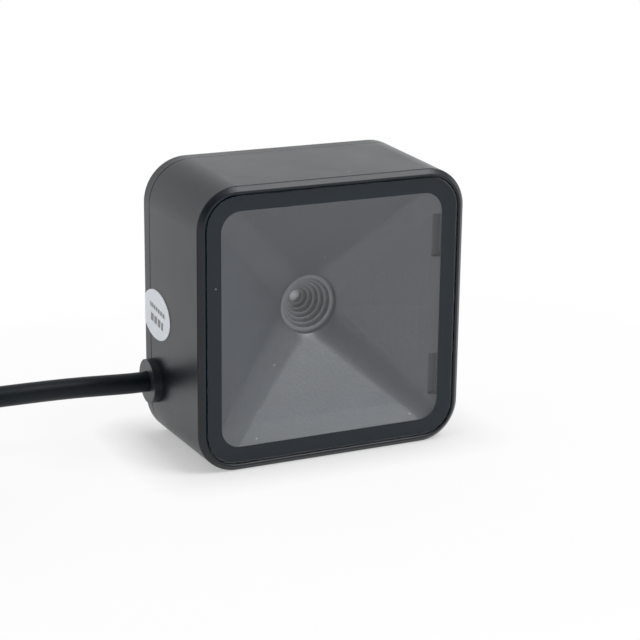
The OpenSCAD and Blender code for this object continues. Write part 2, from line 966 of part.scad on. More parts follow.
front_housing();
back_cover();
cover_screws();
mount_inserts();
window_glass();
window_tape();
light_hood();
lens_barrel();
lens_front();
lens_spacer();
lens_rear();
lens_holder();
ir_filter();
image_sensor();
main_board();
board_screws();
decoder_chip();
memory_chip();
clock_crystal();
lamp_chips();
buzzer();
cable_header();
cable_connector();
inner_leads();
cable_grommet();
seal_label();
cable();
cable_coil();
coil_tie();
cable_tail();
plug_body();
plug_shell();
plug_insert();
plug_contacts();
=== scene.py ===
"""Looks of a fixed barcode reader: finishes of its pieces, its cable, the coil's tie and a white studio."""

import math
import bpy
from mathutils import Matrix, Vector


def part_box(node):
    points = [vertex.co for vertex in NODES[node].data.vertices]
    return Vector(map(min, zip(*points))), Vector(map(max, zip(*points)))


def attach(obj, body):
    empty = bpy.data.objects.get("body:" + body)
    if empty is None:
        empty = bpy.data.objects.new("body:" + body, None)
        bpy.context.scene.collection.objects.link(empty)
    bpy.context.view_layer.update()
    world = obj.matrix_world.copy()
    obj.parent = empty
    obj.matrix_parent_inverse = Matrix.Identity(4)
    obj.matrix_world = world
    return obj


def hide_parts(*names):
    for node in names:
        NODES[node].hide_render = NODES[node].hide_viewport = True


bl_info = {
    "name": "Fixed barcode reader",
    "version": (1, 0, 0),
    "blender": (4, 5, 0),
    "location": "View3D > Sidebar > Reader",
    "description": "Dresses the packed reader, lays its cable and lights it",
    "category": "Object",
}

import bmesh
import bpy
from bpy.props import FloatProperty, FloatVectorProperty, IntProperty, PointerProperty
from mathutils import Matrix, Vector

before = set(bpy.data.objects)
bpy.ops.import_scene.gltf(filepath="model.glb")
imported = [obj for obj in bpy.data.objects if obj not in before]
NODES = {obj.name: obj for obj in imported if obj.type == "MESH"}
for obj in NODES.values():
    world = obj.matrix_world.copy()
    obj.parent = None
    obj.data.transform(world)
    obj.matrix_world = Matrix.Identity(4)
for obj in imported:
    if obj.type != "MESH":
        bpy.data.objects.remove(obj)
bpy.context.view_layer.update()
BODY = "root"
MM = 0.001

# Route of the cable up to its flat turns, in metres; the turns lie around COIL_MIDDLE
LEAD_IN = [
    (-0.0170, 0.0097, 0.01335),
    (-0.0250, 0.0097, 0.01335),
    (-0.0300, 0.0097, 0.01335),
    (-0.0360, 0.0097, 0.01335),
    (-0.0500, 0.0100, 0.01395),
    (-0.0660, 0.0106, 0.01395),
    (-0.0780, 0.0123, 0.0132),
]
COIL_MIDDLE = (-0.1065, -0.0049, 0.012945)
# Lining of the hood at its mouth and at its inner edge: half width, corner radius and depth in millimetres
LINING_MOUTH = (23.2, 4.65, 2.655)
LINING_EDGE = (6.44, 6.44, 12.85)
# Snout behind that edge, in millimetres: collar, steps and throat
COLLAR_DEPTH = 14.0
STEP_COUNT = 5
STEP_RADIUS = 5.45
STEP_WIDTH = 0.8
STEP_HEIGHT = 1.12
THROAT_END = 20.4
# Name of the painted light and shade on the steps: painted highlight along their edges, painted shade in
# their corners
PAINTED_LIGHT_ATTRIBUTE = "painted_light_and_shade"
# Range in which the tone of a noise mostly lies
TONE_RANGE = (0.3, 0.7)
# How far the tail has run on, and what share of its way down to the plug it has gone
TAIL_STEPS = [(0.006, 0.0), (0.01225, 0.15), (0.0185, 0.5), (0.02475, 0.85), (0.031, 1.0)]


class ReaderStage(bpy.types.PropertyGroup):
    """Camera and light of the studio"""

    camera_place: FloatVectorProperty(
        name="Camera place", description="Where the camera stands",
        subtype="TRANSLATION", unit="LENGTH", default=(-0.164692, -0.354476, 0.144740))
    camera_yaw: FloatProperty(
        name="Camera yaw", description="Turn of the view to the right of straight ahead",
        subtype="ANGLE", default=math.radians(25.4096))
    camera_pitch: FloatProperty(
        name="Camera pitch", description="Tilt of the view below the horizon",
        subtype="ANGLE", default=math.radians(16.9155))
    camera_roll: FloatProperty(
        name="Camera roll", description="Lean of the camera",
        subtype="ANGLE", default=math.radians(0.6928))
    camera_lens: FloatProperty(
        name="Focal length", description="Focal length on a 36 mm sensor, in millimetres", default=107.652)
    softbox_place: FloatVectorProperty(
        name="Softbox place", description="Where the softbox hangs, front right",
        subtype="TRANSLATION", unit="LENGTH", default=(0.445, -0.42, 0.875))
    softbox_width: FloatProperty(
        name="Softbox width", description="Level side of the softbox", unit="LENGTH", default=0.36)
    softbox_length: FloatProperty(
        name="Softbox length", description="Sloping side of the softbox", unit="LENGTH", default=0.56)
    softbox_power: FloatProperty(
        name="Softbox power", description="Power of the softbox", unit="POWER", default=4.7)
    cove_level: FloatProperty(
        name="Cove level", description="Brightness of the white surroundings", default=1.0)
    ceiling_level: FloatProperty(
        name="Ceiling level", description="Brightness above the white surroundings", default=0.75)
    dark_side: FloatVectorProperty(
        name="Dark side", description="Direction of the dim part of the room", subtype="DIRECTION",
        default=(-0.38, -0.84, 0.38))
    dark_level: FloatProperty(
        name="Dark side level", description="Brightness of the dim part of the room", default=0.06)
    floor_lift: FloatProperty(
        name="Floor lift", description="Share of plain white in the floor beside the reader",
        subtype="FACTOR", min=0, max=1, default=0.88)
    contact_lift: FloatProperty(
        name="Contact lift", description="Share of plain white in the floor where the reader touches it",
        subtype="FACTOR", min=0, max=1, default=0.40)
    floor_colour: FloatVectorProperty(
        name="Floor colour", description="Colour of the floor", subtype="COLOR", default=(0.93, 0.93, 0.94))


class ReaderCable(bpy.types.PropertyGroup):
    """Sizes of the cable, its coil and its tie"""

    diameter: FloatProperty(
        name="Diameter", description="Diameter of the cable", unit="LENGTH", default=0.0044)
    turns: IntProperty(name="Turns", description="Flat turns of the spare cable", default=8)
    lay: FloatProperty(
        name="Lay", description="Distance between neighbouring turns", unit="LENGTH", default=0.0045)
    run: FloatProperty(
        name="Run", description="Length of the straight runs of a turn", unit="LENGTH", default=0.032)
    fold_radius: FloatProperty(
        name="Fold radius", description="Radius of the innermost fold", unit="LENGTH", default=0.0129)
    entry_drop: FloatProperty(
        name="Entry drop", description="How far below the middle of the bundle the two ends part",
        unit="LENGTH", default=0.002)
    length: FloatProperty(
        name="Length", description="Length of the cable from the reader to the plug",
        unit="LENGTH", default=1.39)
    tie_thickness: FloatProperty(
        name="Tie end thickness", description="Thickness of the tie's free end",
        unit="LENGTH", default=0.0005)
    tie_width: FloatProperty(
        name="Tie end width", description="Width of the tie's free end", unit="LENGTH", default=0.007)


class ReaderFinish(bpy.types.PropertyGroup):
    """Colours and gloss of the reader"""

    housing_colour: FloatVectorProperty(
        name="Housing", description="Colour of the moulded housing", subtype="COLOR",
        default=(0.004, 0.008, 0.013))
    housing_roughness: FloatProperty(
        name="Housing roughness", description="Roughness of the moulded housing", subtype="FACTOR",
        min=0, max=1, default=0.32)
    # Grey of the lugs in the notches, lighter than the hood's grey: painted light for the shaded notches
    lug_colour_painted_light: FloatVectorProperty(
        name="Lugs", description="Colour of the housing's lugs in the notches of the hood", subtype="COLOR",
        default=(0.090, 0.097, 0.115))
    tape_colour: FloatVectorProperty(
        name="Tape", description="Colour of the black border", subtype="COLOR",
        default=(0.0025, 0.010, 0.018))
    hood_colour: FloatVectorProperty(
        name="Hood", description="Colour of the light hood", subtype="COLOR", default=(0.034, 0.041, 0.055))
    hood_roughness: FloatProperty(
        name="Hood roughness", description="Roughness of the light hood", subtype="FACTOR",
        min=0, max=1, default=0.37)
    # Grey of the steps around the lens, under the painted highlight and shade laid over it
    snout_colour: FloatVectorProperty(
        name="Snout", description="Colour of the rings around the lens", subtype="COLOR",
        default=(0.153, 0.159, 0.173))
    lens_colour: FloatVectorProperty(
        name="Front lens", description="Colour of the front lens", subtype="COLOR",
        default=(0.93, 0.95, 0.98))
    cable_colour: FloatVectorProperty(
        name="Cable", description="Colour of the cable", subtype="COLOR",
        default=(0.002, 0.006, 0.011))
    label_colour: FloatVectorProperty(
        name="Label", description="Colour of the seal label", subtype="COLOR", default=(0.90, 0.95, 1.0))
    print_colour: FloatVectorProperty(
        name="Label bars", description="Colour of the plain bars on the label", subtype="COLOR",
        default=(0.22, 0.22, 0.24))
    dust_colour: FloatVectorProperty(
        name="Dust", description="Colour of the dust specks", subtype="COLOR", default=(0.55, 0.52, 0.46))


# Helpers for node trees

def put(tree, kind, inputs=None, **settings):
    """Adds a node, sets its attributes and then its inputs by name or number."""
    node = tree.nodes.new(kind)
    for key, value in settings.items():
        setattr(node, key, value)
    for key, value in (inputs or {}).items():
        if isinstance(value, bpy.types.NodeSocket):
            tree.links.new(value, node.inputs[key])
        else:
            node.inputs[key].default_value = value
    return node


def math_node(tree, operation, a, b=0.0, c=0.0):
    """Adds a Math node and gives its output."""
    return put(tree, "ShaderNodeMath", {0: a, 1: b, 2: c}, operation=operation).outputs[0]


def vector_math(tree, operation, a, b=(0.0, 0.0, 0.0)):
    """Adds a Vector Math node and gives it."""
    return put(tree, "ShaderNodeVectorMath", {0: a, 1: b}, operation=operation)


def scaled(tree, colour, factor):
    """Scales a colour and gives the output."""
    return put(tree, "ShaderNodeVectorMath", {0: colour, "Scale": factor}, operation="SCALE").outputs[0]


def mix_colour(tree, factor, a, b):
    """Adds a colour Mix node and gives its output."""
    return put(tree, "ShaderNodeMix", {0: factor, 6: a, 7: b}, data_type="RGBA").outputs[2]


def map_range(tree, value, low, high, to_low, to_high, smooth=False):
    """Adds a Map Range node and gives its output."""
    kind = "SMOOTHSTEP" if smooth else "LINEAR"
    inputs = {0: value, 1: low, 2: high, 3: to_low, 4: to_high}
    return put(tree, "ShaderNodeMapRange", inputs, interpolation_type=kind).outputs[0]


def object_place(tree):
    """Gives the place on the object, in metres of the shared frame."""
    return put(tree, "ShaderNodeTexCoord").outputs["Object"]


def rgba(colour):
    """Gives a colour with full opacity."""
    return (*colour[:3], 1.0)


def new_group(name, inputs, outputs):
    """Starts a node group with named sockets; gives the tree and its two end nodes."""
    tree = bpy.data.node_groups.new(name, "ShaderNodeTree")
    for label, kind, value in inputs:
        socket = tree.interface.new_socket(name=label, in_out="INPUT", socket_type=kind)
        socket.default_value = value
    for label, kind in outputs:
        tree.interface.new_socket(name=label, in_out="OUTPUT", socket_type=kind)
    return tree, put(tree, "NodeGroupInput"), put(tree, "NodeGroupOutput")


def moulded_grain():
    """Fine grain of a moulded surface, and a slow unevenness of its tone."""
    if "Moulded grain" in bpy.data.node_groups:
        return bpy.data.node_groups["Moulded grain"]
    tree, start, end = new_group(
        "Moulded grain",
        [("Grain scale", "NodeSocketFloat", 4000.0), ("Tone scale", "NodeSocketFloat", 60.0)],
        [("Height", "NodeSocketFloat"), ("Tone", "NodeSocketFloat")])
    place = object_place(tree)
    grain = put(tree, "ShaderNodeTexNoise", {
        "Vector": place, "Scale": start.outputs["Grain scale"], "Detail": 3.0, "Roughness": 0.6})
    tone = put(tree, "ShaderNodeTexNoise", {
        "Vector": place, "Scale": start.outputs["Tone scale"], "Detail": 4.0, "Roughness": 0.55})
    tree.links.new(grain.outputs[0], end.inputs["Height"])
    tree.links.new(tone.outputs[0], end.inputs["Tone"])
    return tree


def dust_specks():
    """Sparse small specks: one in some of the cells of a cell pattern."""
    if "Dust specks" in bpy.data.node_groups:
        return bpy.data.node_groups["Dust specks"]
    tree, start, end = new_group(
        "Dust specks",
        [("Scale", "NodeSocketFloat", 300.0), ("Size", "NodeSocketFloat", 0.05),
         ("Share", "NodeSocketFloat", 0.3)],
        [("Mask", "NodeSocketFloat")])
    cells = put(tree, "ShaderNodeTexVoronoi", {
        "Vector": object_place(tree), "Scale": start.outputs["Scale"]})
    parts = put(tree, "ShaderNodeSeparateColor", {0: cells.outputs["Color"]})
    near = math_node(tree, "LESS_THAN", cells.outputs["Distance"], start.outputs["Size"])
    kept = math_node(tree, "LESS_THAN", parts.outputs[0], start.outputs["Share"])
    tree.links.new(math_node(tree, "MULTIPLY", near, kept), end.inputs["Mask"])
    return tree


def uneven_colour():
    """A colour that is a little darker or lighter with a tone."""
    if "Uneven colour" in bpy.data.node_groups:
        return bpy.data.node_groups["Uneven colour"]
    tree, start, end = new_group(
        "Uneven colour",
        [("Colour", "NodeSocketColor", (0.5, 0.5, 0.5, 1.0)), ("Spread", "NodeSocketFloat", 0.1),
         ("Tone", "NodeSocketFloat", 0.5)],
        [("Colour", "NodeSocketColor")])
    swing = math_node(tree, "MULTIPLY_ADD", start.outputs["Tone"], 2.0, -1.0)
    factor = math_node(tree, "MULTIPLY_ADD", swing, start.outputs["Spread"], 1.0)
    tree.links.new(scaled(tree, start.outputs["Colour"], factor), end.inputs["Colour"])
    return tree


def tool_lines():
    """Fine turned or drawn lines around the reader's depth axis."""
    if "Tool lines" in bpy.data.node_groups:
        return bpy.data.node_groups["Tool lines"]
    tree, start, end = new_group(
        "Tool lines",
        [("Scale", "NodeSocketFloat", 3000.0), ("Stretch", "NodeSocketFloat", 0.05)],
        [("Height", "NodeSocketFloat")])
    stretch = put(tree, "ShaderNodeCombineXYZ", {0: start.outputs["Stretch"], 1: 1.0, 2: 1.0})
    place = vector_math(tree, "MULTIPLY", object_place(tree), stretch.outputs[0])
    lines = put(tree, "ShaderNodeTexNoise", {
        "Vector": place.outputs[0], "Scale": start.outputs["Scale"], "Detail": 2.0})
    tree.links.new(lines.outputs[0], end.inputs["Height"])
    return tree


def use(tree, group, inputs):
    """Places a node group with its own values."""
    return put(tree, "ShaderNodeGroup", inputs, node_tree=group)


def blank_material(name):
    """Starts a material; gives it, its tree and its shader."""
    material = bpy.data.materials.new(name)
    material.use_nodes = True
    tree = material.node_tree
    return material, tree, tree.nodes["Principled BSDF"]


def bump(tree, shader, height, distance):
    """Feeds a height in metres to the shader's normal."""
    node = put(tree, "ShaderNodeBump", {"Height": height, "Distance": distance})
    tree.links.new(node.outputs[0], shader.inputs["Normal"])


def grained(name, colour, roughness, grain=4000.0, depth=0.00002, spread=0.08, sway=0.05,
            dust=0.0, shine=0.5):
    """Plastic or rubber: uneven colour and gloss, a fine grain, and dust specks where asked."""
    material, tree, shader = blank_material(name)
    surface = use(tree, moulded_grain(), {"Grain scale": grain})
    tone = surface.outputs["Tone"]
    tint = use(tree, uneven_colour(), {"Colour": rgba(colour), "Spread": spread, "Tone": tone}).outputs[0]
    if dust > 0:
        finish = bpy.context.scene.reader_finish
        speck_scale, speck_size = 420.0, 0.055
        specks = use(tree, dust_specks(), {"Scale": speck_scale, "Size": speck_size, "Share": dust})
        tint = mix_colour(tree, specks.outputs["Mask"], tint, rgba(finish.dust_colour))
    tree.links.new(tint, shader.inputs["Base Color"])
    gloss = map_range(tree, tone, *TONE_RANGE, roughness - sway, roughness + sway)
    tree.links.new(gloss, shader.inputs["Roughness"])
    shader.inputs["Specular IOR Level"].default_value = shine
    bump(tree, shader, surface.outputs["Height"], depth)
    return material


def bare_metal(name, colour, roughness, stretch=0.05):
    """Metal with fine tool lines and a slight stain."""
    material, tree, shader = blank_material(name)
    surface = use(tree, moulded_grain(), {"Tone scale": 400.0})
    lines = use(tree, tool_lines(), {"Stretch": stretch})
    tint = use(tree, uneven_colour(), {
        "Colour": rgba(colour), "Spread": 0.12, "Tone": surface.outputs["Tone"]})
    tree.links.new(tint.outputs[0], shader.inputs["Base Color"])
    gloss = map_range(tree, lines.outputs[0], *TONE_RANGE, roughness - 0.06, roughness + 0.08)
    tree.links.new(gloss, shader.inputs["Roughness"])
    shader.inputs["Metallic"].default_value = 1.0
    bump(tree, shader, lines.outputs[0], 0.000008)
    return material


def clear_glass(name, colour, ior=1.5, haze=0.0):
    """Clear glass with faint smudges that lets light through to what lies behind it."""
    material, tree, shader = blank_material(name)
    surface = use(tree, moulded_grain(), {"Tone scale": 90.0})
    tint = use(tree, uneven_colour(), {
        "Colour": rgba(colour), "Spread": 0.02, "Tone": surface.outputs["Tone"]})
    tree.links.new(tint.outputs[0], shader.inputs["Base Color"])
    shader.inputs["Roughness"].default_value = haze
    shader.inputs["Transmission Weight"].default_value = 1.0
    shader.inputs["IOR"].default_value = ior
    path = put(tree, "ShaderNodeLightPath")
    light = math_node(tree, "MAXIMUM", path.outputs["Is Shadow Ray"], path.outputs["Is Diffuse Ray"])
    clear = put(tree, "ShaderNodeBsdfTransparent", {"Color": rgba(colour)})
    both = put(tree, "ShaderNodeMixShader", {0: light, 1: shader.outputs[0], 2: clear.outputs[0]})
    tree.links.new(both.outputs[0], tree.nodes["Material Output"].inputs["Surface"])
    return material


# Helpers for pieces

def dress(material, *names):
    """Gives CAD nodes a material."""
    for name in names:
        slots = NODES[name].data.materials
        slots.clear()
        slots.append(material)


def joined(name):
    """Gives a CAD node with its facets joined and shaded smoothly."""
    node = NODES[name]
    mesh = node.data
    if "custom_normal" in mesh.attributes:
        mesh.attributes.remove(mesh.attributes["custom_normal"])
    mesh.shade_smooth()
    weld = node.modifiers.new("Weld", "WELD")
    weld.merge_threshold = 0.000002
    return node


def even_out(name, angle=30.0):
    """Shades a CAD node smoothly across facets that meet at less than the angle."""
    node = joined(name)
    split = node.modifiers.new("Split", "EDGE_SPLIT")
    split.split_angle = math.radians(angle)
    split.use_edge_sharp = False
    weighted = node.modifiers.new("Weighted", "WEIGHTED_NORMAL")
    weighted.keep_sharp = True


def soften(name, width, segments=3):
    """Rounds the sharp edges of a CAD node."""
    bevel = joined(name).modifiers.new("Soft edge", "BEVEL")
    bevel.width = width
    bevel.segments = segments
    bevel.limit_method = "ANGLE"
    bevel.angle_limit = math.radians(50)
    bevel.harden_normals = True


def new_piece(name, mesh, material):
    """Adds a mesh as a piece that rides on the reader."""
    piece = bpy.data.objects.new(name, mesh)
    bpy.context.scene.collection.objects.link(piece)
    mesh.materials.append(material)
    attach(piece, BODY)
    return piece


def mesh_from(name, build):
    """Makes a mesh with a function that fills a bmesh."""
    form = bmesh.new()
    build(form)
    bmesh.ops.recalc_face_normals(form, faces=form.faces)
    mesh = bpy.data.meshes.new(name)
    form.to_mesh(mesh)
    form.free()
    return mesh


def rounded_loop(middle, y, half_w, half_h, corner, arc=16):
    """Points of an upright rounded rectangle around a middle, at a depth."""
    made = []
    for quarter, (sx, sz) in enumerate(((1, 1), (-1, 1), (-1, -1), (1, -1))):
        for k in range(arc + 1):
            a = math.pi / 2 * (quarter + k / arc)
            made.append((middle.x + sx * (half_w - corner) + corner * math.cos(a), y,
                         middle.z + sz * (half_h - corner) + corner * math.sin(a)))
    return made


def closed_skin(form, loops):
    """Joins each loop of points to the next one, and the last to the first."""
    rings = [[form.verts.new(p) for p in loop] for loop in loops]
    count = len(rings[0])
    for a, b in zip(rings, rings[1:] + rings[:1]):
        for k in range(count):
            n = (k + 1) % count
            form.faces.new((a[k], a[n], b[n], b[k]))


def smooth_route(points, steps):
    """Points of a Catmull-Rom curve from the second point to the last but one."""
    made = []
    for i in range(1, len(points) - 2):
        a, b, c, d = (Vector(p) for p in points[i - 1:i + 3])
        for k in range(steps):
            t = k / steps
            made.append(0.5 * (2 * b + (c - a) * t + (2 * a - 5 * b + 4 * c - d) * t ** 2
                               + (3 * b - a - 3 * c + d) * t ** 3))
    made.append(Vector(points[-2]))
    return made


def turn_length(cable):
    """Length of one turn along the middle of the bundle."""
    return 2 * cable.run + 2 * math.pi * (cable.fold_radius + cable.lay / 2)


def around_coil(cable, way):
    """Point on the middle of the bundle after a way along it, and the direction out of the turn."""
    radius = cable.fold_radius + cable.lay / 2
    middle = Vector(COIL_MIDDLE)
    half = turn_length(cable) / 2
    side = 1 if way % (2 * half) < half else -1
    left = way % half
    if left < cable.run:
        outward = Vector((0.0, side, 0.0))
        return middle + Vector((side * (cable.run / 2 - left), side * radius, 0.0)), outward
    angle = math.pi / 2 + (left - cable.run) / radius
    outward = side * Vector((math.cos(angle), math.sin(angle), 0.0))
    return middle - Vector((side * cable.run / 2, 0.0, 0.0)) + radius * outward, outward


def place_in_bundle(cable, turn):
    """Offset out of the turn and upwards: up the outer column, over, down the inner one, under and up."""
    half = cable.lay / 2
    column = cable.lay * (cable.turns - 1) / 2
    first = (column / 2 - half + cable.entry_drop) / cable.lay
    if turn < first:
        return half, half - cable.entry_drop + cable.lay * turn
    turn -= first
    if turn < 1:
        return half * math.cos(math.pi * turn), column / 2 + half * math.sin(math.pi * turn)
    turn -= 1
    if turn < column / cable.lay:
        return -half, column / 2 - cable.lay * turn
    turn -= column / cable.lay
    if turn < 1:
        return -half * math.cos(math.pi * turn), -column / 2 - half * math.sin(math.pi * turn)
    return half, -column / 2 + cable.lay * (turn - 1)


def coil_point(cable, turn):
    """Point of the cable after a number of turns."""
    place, outward = around_coil(cable, turn * turn_length(cable))
    out, up = place_in_bundle(cable, turn)
    return place + out * outward + Vector((0.0, 0.0, up))


def cable_line(cable):
    """Centreline of the whole cable, from inside the grommet to the plug."""
    low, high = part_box("plug_body")
    plug = Vector((high.x, (low.y + high.y) / 2, (low.z + high.z) / 2))
    points_per_turn, route_steps = 72, 4
    just_short = 0.999999
    entry_way, tail_way = Vector((0.014, 0.0, 0.0)), Vector((0.010, 0.0, 0.0))
    last = cable.turns + just_short * cable.run / turn_length(cable)
    count = round(last * points_per_turn)
    coil = [coil_point(cable, last * k / count) for k in range(count + 1)]
    lead = smooth_route(LEAD_IN + [coil[0], coil[0] - entry_way], route_steps)
    sink = Vector((0.0, plug.y - coil[-1].y, plug.z - coil[-1].z))
    tail = [coil[-1] - Vector((way, 0.0, 0.0)) + share * sink for way, share in TAIL_STEPS]
    past = tail[-1] - tail_way
    tail = smooth_route([coil[-1] + tail_way, coil[-1]] + tail + [past], route_steps)
    return lead[:-1] + coil + tail[1:]


class READER_OT_stage(bpy.types.Operator):
    """Set up the camera, the floor, the softbox and the white surroundings"""

    bl_idname = "reader.stage"
    bl_label = "Stage"

    def execute(self, context):
        stage = context.scene.reader_stage
        self.add_camera(context, stage)
        self.add_floor(context, stage)
        self.add_softbox(context, stage)
        self.add_surroundings(context, stage)
        context.scene.view_settings.view_transform = "Standard"
        return {"FINISHED"}

    def add_camera(self, context, stage):
        """Stands the camera in front of the reader, to the left and a little above."""
        yaw, pitch, roll = stage.camera_yaw, stage.camera_pitch, stage.camera_roll
        ahead = Vector((
            math.sin(yaw) * math.cos(pitch), math.cos(yaw) * math.cos(pitch), -math.sin(pitch)))
        level = Vector((math.cos(yaw), -math.sin(yaw), 0.0))
        upright = level.cross(ahead)
        right = math.cos(roll) * level + math.sin(roll) * upright
        up = -math.sin(roll) * level + math.cos(roll) * upright
        data = bpy.data.cameras.new("camera")
        data.lens = stage.camera_lens
        data.sensor_width = 36.0
        data.clip_start = 0.01
        camera = bpy.data.objects.new("camera", data)
        turn = Matrix((right, up, -ahead)).transposed().to_4x4()
        camera.matrix_world = Matrix.Translation(stage.camera_place) @ turn
        context.scene.collection.objects.link(camera)
        context.scene.camera = camera

    def add_floor(self, context, stage):
        """Lays a white floor whose shadow fades with the distance from the reader."""
        floor_radius, floor_sides = 3.0, 96

        def disc(form):
            bmesh.ops.create_circle(form, cap_ends=True, radius=floor_radius, segments=floor_sides)

        mesh = mesh_from("floor", disc)
        material, tree, shader = blank_material("floor_paper")
        surface = use(tree, moulded_grain(), {"Grain scale": 1500.0, "Tone scale": 4.0})
        tint = use(tree, uneven_colour(), {
            "Colour": rgba(stage.floor_colour), "Spread": 0.01, "Tone": surface.outputs["Tone"]})
        tree.links.new(tint.outputs[0], shader.inputs["Base Color"])
        shader.inputs["Roughness"].default_value = 0.7
        shader.inputs["Specular IOR Level"].default_value = 0.2
        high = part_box("back_cover")[1]
        half = Vector((high.x, high.y, 0.0))
        contact_reach, white_from, white_full = 0.012, 0.020, 0.10
        away = vector_math(tree, "ABSOLUTE", object_place(tree))
        away = vector_math(tree, "SUBTRACT", away.outputs[0], half)
        away = vector_math(tree, "MAXIMUM", away.outputs[0])
        away = vector_math(tree, "LENGTH", away.outputs[0]).outputs["Value"]
        beside = map_range(tree, away, 0.0, contact_reach, stage.contact_lift, stage.floor_lift)
        far = map_range(tree, away, white_from, white_full, 0.0, 1.0, smooth=True)
        path = put(tree, "ShaderNodeLightPath")
        seen = math_node(tree, "MAXIMUM", path.outputs["Is Camera Ray"], path.outputs["Is Glossy Ray"])
        seen = math_node(tree, "MAXIMUM", seen, path.outputs["Is Transmission Ray"])
        share = math_node(tree, "MULTIPLY", seen, math_node(tree, "MAXIMUM", beside, far))
        white = put(tree, "ShaderNodeEmission", {"Color": (1.0, 1.0, 1.0, 1.0), "Strength": 1.0})
        mixed = put(tree, "ShaderNodeMixShader", {0: share, 1: shader.outputs[0], 2: white.outputs[0]})
        tree.links.new(mixed.outputs[0], tree.nodes["Material Output"].inputs["Surface"])
        mesh.materials.append(material)
        floor = bpy.data.objects.new("floor", mesh)
        context.scene.collection.objects.link(floor)

    def add_softbox(self, context, stage):
        """Hangs the softbox so that it faces the middle of the reader."""
        data = bpy.data.lights.new("softbox", "AREA")
        data.shape = "RECTANGLE"
        data.size = stage.softbox_width
        data.size_y = stage.softbox_length
        data.energy = stage.softbox_power
        lamp = bpy.data.objects.new("softbox", data)
        lamp.location = stage.softbox_place
        reader_middle = Vector((0.0, 0.0, 0.03))
        aim = reader_middle - lamp.location
        lamp.rotation_euler = aim.to_track_quat("-Z", "Y").to_euler()
        context.scene.collection.objects.link(lamp)

    def add_surroundings(self, context, stage):
        """Makes the room: plain white where it is looked at, and dim on one side as a light."""
        world = bpy.data.worlds.new("white_surroundings")
        world.use_nodes = True
        context.scene.world = world
        tree = world.node_tree
        tree.nodes.clear()
        # White is what the camera sees directly or straight through the glass
        path = put(tree, "ShaderNodeLightPath")
        straight = math_node(tree, "LESS_THAN", path.outputs["Glossy Depth"], 0.5)
        through = math_node(tree, "MULTIPLY", path.outputs["Is Transmission Ray"], straight)
        seen = math_node(tree, "MAXIMUM", path.outputs["Is Camera Ray"], through)
        direction = put(tree, "ShaderNodeTexCoord").outputs["Generated"]
        height = put(tree, "ShaderNodeSeparateXYZ", {0: direction}).outputs[2]
        cove_top, ceiling_from = 0.28, 0.46
        dim_edge, dim_core = 0.70, 0.90
        cove = map_range(
            tree, height, cove_top, ceiling_from, stage.cove_level, stage.ceiling_level, smooth=True)
        side = vector_math(tree, "DOT_PRODUCT", direction, stage.dark_side).outputs["Value"]
        dimmed = map_range(tree, side, dim_edge, dim_core, 1.0, stage.dark_level, smooth=True)
        room = math_node(tree, "MULTIPLY", cove, dimmed)
        level = put(tree, "ShaderNodeMix", {0: seen, 2: room, 3: 1.0}, data_type="FLOAT").outputs[0]
        light = put(tree, "ShaderNodeBackground", {"Color": (1.0, 1.0, 1.0, 1.0), "Strength": level})
        out = put(tree, "ShaderNodeOutputWorld")
        tree.links.new(light.outputs[0], out.inputs["Surface"])


class READER_OT_cable(bpy.types.Operator):
    """Lay the cable from the grommet through its coil to the plug"""

    bl_idname = "reader.cable"
    bl_label = "Cable"

    def execute(self, context):
        cable = context.scene.reader_cable
        finish = context.scene.reader_finish
        line = cable_line(cable)
        data = bpy.data.curves.new("cable_line", "CURVE")
        data.dimensions = "3D"
        data.bevel_depth = cable.diameter / 2
        data.bevel_resolution = 6
        data.use_fill_caps = True
        spline = data.splines.new("POLY")
        spline.points.add(len(line) - 1)
        for point, place in zip(spline.points, line):
            point.co = (*place, 1.0)
        spline.use_smooth = True
        piece = bpy.data.objects.new("cable_line", data)
        context.scene.collection.objects.link(piece)
        data.materials.append(grained(
            "cable_black", finish.cable_colour, 0.47, grain=2500.0, depth=0.00002, spread=0.15, shine=0.26))
        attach(piece, BODY)
        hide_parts("cable", "cable_coil", "cable_tail")
        return {"FINISHED"}


class READER_OT_tie(bpy.types.Operator):
    """Finish the tie around the coil and add its free end"""

    bl_idname = "reader.tie"
    bl_label = "Tie"

    def execute(self, context):
        cable = context.scene.reader_cable
        material = grained("tie_black", (0.02, 0.02, 0.022), 0.7, grain=1800.0, depth=0.00008, spread=0.2)
        dress(material, "coil_tie")
        soften("coil_tie", 0.0002, 2)
        low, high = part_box("coil_tie")
        middle = (low + high) / 2
        radius = (high.y - low.y) / 2
        flat = (high.z - low.z) / 2 - radius
        columns = 28
        # The end climbs one side, then laps over the top and narrows to a rounded tip
        start, climb = -0.6, 4.0
        lap, straight = math.radians(150), 0.4
        tip, tip_share = 0.3, 0.1

        def strip(form):
            rows = []
            for k in range(columns + 1):
                way = k / columns
                turn = lap * max(0.0, (way - straight) / (1.0 - straight))
                rise = flat * min(1.0, start + climb * way)
                spoke = Vector((0.0, math.cos(turn), math.sin(turn)))
                end = min(1.0, (1.0 - way) / tip_share)
                half = cable.tie_width / 2 * (tip + (1.0 - tip) * math.sqrt(1.0 - (1.0 - end) ** 2))
                base = middle + Vector((0.0, 0.0, rise))
                rows.append([
                    form.verts.new(base + spoke * reach + Vector((side * half, 0.0, 0.0)))
                    for reach, side in ((radius, -1), (radius, 1), (radius + cable.tie_thickness, 1),
                                        (radius + cable.tie_thickness, -1))])
            for a, b in zip(rows, rows[1:]):
                for i in range(4):
                    form.faces.new((a[i], a[(i + 1) % 4], b[(i + 1) % 4], b[i]))
            form.faces.new(rows[0])
            form.faces.new(rows[-1])

        piece = new_piece("tie_end", mesh_from("tie_end", strip), material)
        edge = piece.modifiers.new("Soft edge", "BEVEL")
        edge.width = 0.00015
        edge.segments = 2
        return {"FINISHED"}


